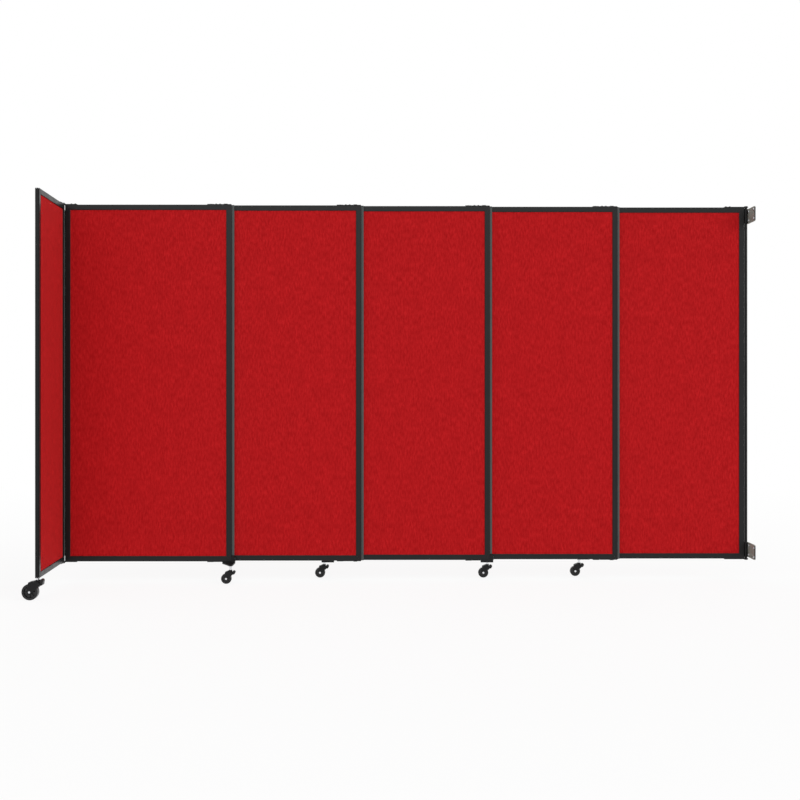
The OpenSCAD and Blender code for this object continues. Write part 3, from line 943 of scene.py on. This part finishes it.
@dataclass
class PanelScrews:
    """The screws of guides, straps, outriggers and wall plates.

    The sizes are those of the CAD pieces that the screws hold: places along the rails, the
    thickness under each head, the wall plates' holes and the heights on the cheeks.
    """

    screws: Screws
    wall_finish: Material
    trail_first: float = 0.736
    trail_thickness: float = 0.0025
    lead_middle: float = 0.075
    lead_thickness: float = 0.005
    strap_inset: float = 0.009
    strap_thickness: float = 0.003
    gap: float = 0.019
    end_reach: float = 0.0686
    low_proud: float = 0.0006
    plate_middle: float = 0.0365
    plate_holes_y: tuple[float, float] = (0.0105, 0.0905)
    plate_holes_z: tuple[float, float] = (-0.022, 0.022)
    plate_screw_size: float = 1.3
    barrel_inset_x: float = 0.013
    barrel_inset_y: float = 0.0177
    set_screw_size: float = 0.5
    cheek_heights: tuple[float, float] = (0.004, 0.0135)
    cheek_screw_size: float = 0.95

    def rails(self, x: float, y: float, frame: str, rise: float) -> Seats:
        """Two seats, on the top rail and under the bottom rail.

        The lower screw is sunk, so that the outriggers' arms pass below its head.

        Args:
            x: place along the rail.
            y: the rail's middle plane.
            frame: the frame's node.
            rise: thickness of what the screw sits on.

        Returns:
            The seats.
        """
        low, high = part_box(frame)
        sunk = self.screws.head_height - self.low_proud
        upper = Vector((x, y, high[2] + rise))
        lower = Vector((x, y, low[2] - rise + sunk))
        return [(upper, Way.UP), (lower, Way.DOWN)]

    def panel(self, number: int) -> None:
        """Sets the rail screws of one panel: of its guides, and of its straps if it has any.

        Args:
            number: the panel's number, counted from the end panel.
        """
        frame = f"panel_{number}_frame"
        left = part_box(frame)[0][0]
        insets = (self.strap_inset, self.strap_inset + self.gap)
        spots: list[tuple[float, float]] = []
        if number < PANELS[-1]:
            steps = (self.trail_first, self.trail_first + self.gap)
            spots += [(left + step, self.trail_thickness) for step in steps]
        if number > PANELS[0]:
            spots.append((left + self.lead_middle, self.lead_thickness))
        if number == PANELS[-1]:
            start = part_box("panel_5_hinge_straps")[0][0]
            spots += [(start + inset, self.strap_thickness) for inset in insets]
        if number == PANELS[0]:
            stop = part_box("panel_1_hinge_straps")[1][0]
            spots += [(stop - inset, self.strap_thickness) for inset in insets]
        seats: Seats = []
        for x, rise in spots:
            seats += self.rails(x, centre_of(frame).y, frame, rise)
        self.screws.set_of(f"panel_{number}_rail_screws", f"panel_{number}", seats)

    def end_panel(self) -> None:
        """Sets the screws of the end panel's joggled straps."""
        axis = joint_place("end_panel_hinge")
        seats: Seats = []
        last = self.end_reach - self.strap_inset
        for reach in (last, last - self.gap):
            x = axis[0] + reach * math.cos(END_TURN)
            y = axis[1] + reach * math.sin(END_TURN)
            seats += self.rails(x, y, "end_panel_frame", self.strap_thickness)
        self.screws.set_of("end_panel_rail_screws", "end_panel", seats)

    def wall_plates(self) -> None:
        """Sets four screws through each wall plate, and a sunk set screw in each barrel."""
        low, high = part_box("wall_plates")
        face = high[0] - PLATE_THICKNESS
        barrel_x = high[0] - self.barrel_inset_x
        barrel_y = high[1] - self.barrel_inset_y
        seats: Seats = []
        barrels: Seats = []
        for middle in (low[2] + self.plate_middle, high[2] - self.plate_middle):
            for y in self.plate_holes_y:
                for z in self.plate_holes_z:
                    seats.append((Vector((face, low[1] + y, middle + z)), Way.LEFT))
            barrels.append((Vector((barrel_x, barrel_y, middle)), Way.FRONT))
        self.screws.set_of("wall_plate_screws", "wall_mount", seats, self.plate_screw_size, self.wall_finish)
        self.screws.set_of("barrel_set_screws", "wall_mount", barrels, self.set_screw_size)

    def outriggers(self) -> None:
        """Sets two screws through each cheek into the end of the rail and the stile."""
        for node, body in OUTRIGGERS.items():
            low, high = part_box(node)
            frame_low, frame_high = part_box(f"{body}_frame")
            middle = centre_of(f"{body}_frame").y
            seats: Seats = []
            for height in self.cheek_heights:
                z = frame_low[2] + height
                if high[0] > frame_high[0]:
                    seats.append((Vector((high[0], middle, z)), Way.RIGHT))
                if low[0] < frame_low[0]:
                    seats.append((Vector((low[0], middle, z)), Way.LEFT))
            self.screws.set_of(f"{node}_screws", body, seats, self.cheek_screw_size)

    def build(self) -> None:
        """Sets every screw of the panels and the wall."""
        for number in PANELS:
            self.panel(number)
        self.end_panel()
        self.wall_plates()
        self.outriggers()


@dataclass(frozen=True)
class CasterSize:
    """What differs between the small casters and the big one."""

    stem_radius: float
    cup_rim: float
    toe_radius: float
    lever_half_width: float
    has_nut: bool


SMALL_CASTER = CasterSize(0.006, 0.0021, 0.00725, 0.009, True)
BIG_CASTER = CasterSize(0.0065, 0.0034, 0.00803, 0.013, False)


@dataclass
class CasterDetails:
    """What a caster shows close up: bearing cup, stem nut, wheel ribs and lever grip."""

    finishes: Finishes
    ribs: int = 8
    rib_thickness: float = 0.0022
    rib_start: float = 0.3
    rib_stop: float = 0.735
    rib_width: float = 0.86
    rib_taper: Triple = (1.0, 0.93, 0.7)
    rib_rounding: float = 0.0005
    rib_smooth: float = 35.0
    recess_edge: float = 0.0007
    edge_steps: int = 2
    cup_steps: int = 3
    cup_sides: int = 48
    cup_height: float = 0.0028
    cup_rounding: float = 0.3
    cup_smooth: float = 40.0
    nut_height: float = 0.0042
    nut_foot: float = 0.0809
    nut_width: float = 1.6
    nut_chamfer: float = 0.14
    nut_smooth: float = 25.0
    ridges: int = 3
    ridge_sides: int = 10
    ridge_radius: float = 0.0006
    ridge_end: float = 0.0002
    ridge_share: float = 0.8
    ridge_first: float = 72.0
    ridge_step: float = 34.0
    ridge_smooth: float = 50.0

    @staticmethod
    def size_of(name: str) -> CasterSize:
        """The size of a caster by its name."""
        return BIG_CASTER if name == "end_panel" else SMALL_CASTER

    def ring(self, name: str, inner: float, outer: float, low: Vector) -> Object:
        """The bearing's cup: a round collar with rolled edges.

        Args:
            name: the object's name.
            inner: radius of the hole.
            outer: outer radius.
            low: middle of its lower face.

        Returns:
            The object, settled.
        """
        collar = standing_cylinder(self.cup_sides, outer, self.cup_height)
        collar.name = name
        bpy.ops.object.mode_set(mode="EDIT")
        pick(collar, Pick.FACES, faces_up_or_down)
        bpy.ops.mesh.inset(thickness=outer - inner, depth=0.0)
        bpy.ops.mesh.bridge_edge_loops()
        rim = outer * NEARLY
        pick(collar, Pick.EDGES, lambda e: is_level(e) and all(v.co.xy.length > rim for v in e.verts))
        rounding = min(self.cup_height, outer - inner) * self.cup_rounding
        bpy.ops.mesh.bevel(offset=rounding, segments=self.cup_steps, affect="EDGES")
        bpy.ops.mesh.select_all(action="SELECT")
        bpy.ops.mesh.normals_make_consistent(inside=False)
        bpy.ops.object.mode_set(mode="OBJECT")
        collar.location = low
        settle(collar)
        shade(collar, self.cup_smooth)
        return collar

    def nut(self, name: str, inner: float, low: Vector) -> Object:
        """A hexagon nut with chamfered corners.

        Args:
            name: the object's name.
            inner: radius of its hole.
            low: middle of its lower face.

        Returns:
            The object, settled.
        """
        nut = standing_cylinder(6, inner * self.nut_width, self.nut_height)
        nut.name = name
        bpy.ops.object.mode_set(mode="EDIT")
        pick(nut, Pick.EDGES, is_level)
        chamfer = self.nut_height * self.nut_chamfer
        bpy.ops.mesh.bevel(offset=chamfer, segments=self.edge_steps, affect="EDGES")
        bpy.ops.object.mode_set(mode="OBJECT")
        nut.location = low
        settle(nut)
        shade(nut, self.nut_smooth)
        return nut

    def wheel_rib(self, start: float, stop: float, half: float) -> Object:
        """One spoke of a wheel, along +X, that tapers towards the rim.

        Args:
            start: radius where it begins.
            stop: radius where it ends.
            half: half of its width along Y.

        Returns:
            The object.
        """
        clear_selection()
        bpy.ops.mesh.primitive_cube_add(size=1.0, location=((start + stop) / 2, 0, 0))
        rib = bpy.context.object
        rib.scale = (stop - start, 2 * half, self.rib_thickness)
        bpy.ops.object.transform_apply(location=True, rotation=False, scale=True)
        bpy.ops.object.mode_set(mode="EDIT")
        pick(rib, Pick.FACES, lambda face: face.normal.x > FACING)
        bpy.ops.transform.resize(value=self.rib_taper)
        along = (stop - start) / 2
        pick(rib, Pick.EDGES, lambda edge: abs(edge.verts[0].co.x - edge.verts[1].co.x) > along)
        bpy.ops.mesh.bevel(offset=self.rib_rounding, segments=self.edge_steps, affect="EDGES")
        bpy.ops.object.mode_set(mode="OBJECT")
        return rib

    def wheel(self, name: str) -> None:
        """Adds the ribs in the wheel's recess.

        Args:
            name: the caster's name.
        """
        node = f"{name}_caster_wheel"
        low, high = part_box(node)
        radius = (high[2] - low[2]) / 2
        half = ((high[1] - low[1]) / 2 - self.recess_edge) * self.rib_width
        rib = self.wheel_rib(self.rib_start * radius, self.rib_stop * radius, half)
        hub = Matrix.Translation(centre_of(node))
        turns = [2 * math.pi * number / self.ribs for number in range(self.ribs)]
        places = [hub @ Matrix.Rotation(turn, 4, "Y") for turn in turns]
        ribs = repeat(rib, places, f"{name}_wheel_ribs", self.rib_smooth)
        deliver(ribs, f"{name}_caster_wheel_body", self.finishes.wheel)

    def bearing(self, name: str) -> None:
        """Adds the swivel bearing's cup on the crown and the nut above it.

        Args:
            name: the caster's name.
        """
        size = self.size_of(name)
        stem = joint_place(f"{name}_swivel")
        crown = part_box(f"{name}_caster_fork")[1][2]
        outer = size.stem_radius + size.cup_rim
        cup = self.ring(f"{name}_bearing_cup", size.stem_radius, outer, Vector((stem[0], stem[1], crown)))
        deliver(cup, f"{name}_caster", self.finishes.steel)
        if size.has_nut:
            foot = Vector((stem[0], stem[1], self.nut_foot))
            nut = self.nut(f"{name}_stem_nut", size.stem_radius, foot)
            deliver(nut, f"{name}_caster", self.finishes.chrome)

    def ridge(self, length: float) -> Object:
        """One ridge of a lever's grip, upright about the origin.

        Args:
            length: its length.

        Returns:
            The object.
        """
        clear_selection()
        sides = self.ridge_sides
        bpy.ops.mesh.primitive_cylinder_add(vertices=sides, radius=self.ridge_radius, depth=length)
        ridge = bpy.context.object
        bpy.ops.object.mode_set(mode="EDIT")
        pick(ridge, Pick.FACES, faces_up_or_down)
        bpy.ops.mesh.inset(thickness=self.ridge_end, depth=self.ridge_end)
        bpy.ops.object.mode_set(mode="OBJECT")
        return ridge

    def lever_grip(self, name: str) -> None:
        """Adds small ridges to the rounded toe of the brake lever.

        Args:
            name: the caster's name.
        """
        size = self.size_of(name)
        low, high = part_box(f"{name}_caster_brake_lever")
        middle = (low[1] + high[1]) / 2
        toe = Vector((high[0] - size.toe_radius, middle, high[2] - size.toe_radius))
        places = []
        for number in range(self.ridges):
            angle = math.radians(self.ridge_first - self.ridge_step * number)
            spot = toe + Vector((math.cos(angle), 0, math.sin(angle))) * size.toe_radius
            places.append(Matrix.Translation(spot) @ Way.REAR.turn)
        ridge = self.ridge(2 * self.ridge_share * size.lever_half_width)
        grip = repeat(ridge, places, f"{name}_lever_grip", self.ridge_smooth)
        deliver(grip, f"{name}_caster_brake", self.finishes.lever)

    def build(self) -> None:
        """Dresses the five casters."""
        for name in CASTERS:
            self.wheel(name)
            self.bearing(name)
            self.lever_grip(name)


@dataclass(frozen=True)
class Sun:
    """A soft sun lamp: its strength, its apparent size in degrees and where it shines."""

    name: str
    strength: float
    softness: float
    towards: Triple

    def build(self) -> None:
        """Adds the lamp."""
        data = bpy.data.lights.new(self.name, "SUN")
        data.energy = self.strength
        data.angle = math.radians(self.softness)
        lamp = bpy.data.objects.new(self.name, data)
        lamp.rotation_euler = Vector(self.towards).to_track_quat("-Z", "Y").to_euler()
        bpy.context.scene.collection.objects.link(lamp)


@dataclass
class Studio:
    """White room with soft light, and the camera at the photo's viewing angle."""

    camera_at: Triple = (-0.0217, -5.2674, 0.968)
    horizon_px: float = 383.0
    picture_px: float = 800.0
    focal_mm: float = 50.0
    sensor_mm: float = 36.0
    sight: float = 300.0
    floor_half: float = 60.0
    floor_colour: Triple = (0.93, 0.93, 0.93)
    floor_roughness: float = 0.9
    floor_specular: float = 0.1
    shadow_range: tuple[float, float] = (2.0, 6.0)
    shadow_white: tuple[float, float] = (0.88, 1.0)
    room_light: float = 0.62
    suns: tuple[Sun, ...] = (
        Sun("side_light", 1.4, 60.0, (-0.82, 0.38, -0.45)),
        Sun("front_light", 0.48, 40.0, (0.1, 0.9, -0.42)),
    )

    def camera(self) -> None:
        """Places the camera level, with the picture shifted to the photo's horizon."""
        data = bpy.data.cameras.new("studio_camera")
        data.lens = self.focal_mm
        data.sensor_width = self.sensor_mm
        data.shift_y = (self.horizon_px - self.picture_px / 2) / self.picture_px
        data.clip_end = self.sight
        camera = bpy.data.objects.new("studio_camera", data)
        camera.location = self.camera_at
        camera.rotation_euler = (math.radians(90), 0, 0)
        bpy.context.scene.collection.objects.link(camera)
        bpy.context.scene.camera = camera

    def floor(self) -> None:
        """Lays a plain white floor that keeps a faint shadow round the object."""
        clear_selection()
        bpy.ops.mesh.primitive_plane_add(size=2 * self.floor_half)
        floor = bpy.context.object
        floor.name = "studio_floor"
        material, sheet, shader = new_material("white_floor")
        sheet.fill(shader, {
            "Base Color": opaque(self.floor_colour),
            "Roughness": self.floor_roughness,
            "Specular IOR Level": self.floor_specular,
        })
        place = sheet.object_place()
        away = sheet.add("ShaderNodeVectorMath", {0: place}, operation="LENGTH").outputs["Value"]
        white = sheet.ramp(away, *self.shadow_range, *self.shadow_white)
        seen = sheet.math("MULTIPLY", self.seen_directly(sheet), white)
        glow = sheet.add("ShaderNodeEmission", {"Color": WHITE, "Strength": 1.0}).outputs[0]
        mix = sheet.add("ShaderNodeMixShader", {0: seen, 1: shader.outputs[0], 2: glow}).outputs[0]
        sheet.fill(material.node_tree.nodes["Material Output"], {0: mix})
        dress(floor, material)

    @staticmethod
    def seen_directly(sheet: NodeSheet) -> Socket:
        """Tells the rays that see a surface from those that light others.

        Args:
            sheet: the node sheet.

        Returns:
            1 for camera, glossy and transmission rays, and 0 for all others.
        """
        path = sheet.add("ShaderNodeLightPath").outputs
        seen = sheet.math("MAXIMUM", path["Is Camera Ray"], path["Is Glossy Ray"])
        return sheet.math("MAXIMUM", seen, path["Is Transmission Ray"])

    def world(self) -> None:
        """White behind the object, and a plain even light on it."""
        world = bpy.data.worlds.new("studio_world")
        bpy.context.scene.world = world
        world.use_nodes = True
        sheet = NodeSheet(world.node_tree)
        world.node_tree.nodes.clear()
        seen = self.seen_directly(sheet)
        lit = sheet.add("ShaderNodeBackground", {"Color": WHITE, "Strength": self.room_light}).outputs[0]
        shown = sheet.add("ShaderNodeBackground", {"Color": WHITE, "Strength": 1.0}).outputs[0]
        mix = sheet.add("ShaderNodeMixShader", {0: seen, 1: lit, 2: shown}).outputs[0]
        sheet.add("ShaderNodeOutputWorld", {0: mix})

    def build(self) -> None:
        """Sets up the whole studio."""
        bpy.context.scene.view_settings.view_transform = "Standard"
        self.camera()
        self.floor()
        self.world()
        for sun in self.suns:
            sun.build()


def main() -> None:
    """Builds the studio and dresses the partition, part by part."""
    logging.basicConfig(level=logging.INFO, format="%(name)s: %(message)s")
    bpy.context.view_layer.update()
    Studio().build()
    finishes = Finishes()
    finishes.dress_nodes()
    FabricBoards(finishes.fabric).build()
    PanelScrews(Screws(finishes.black_screw), finishes.zinc).build()
    CasterDetails(finishes).build()


if __name__ == "__main__":
    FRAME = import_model()
    main()
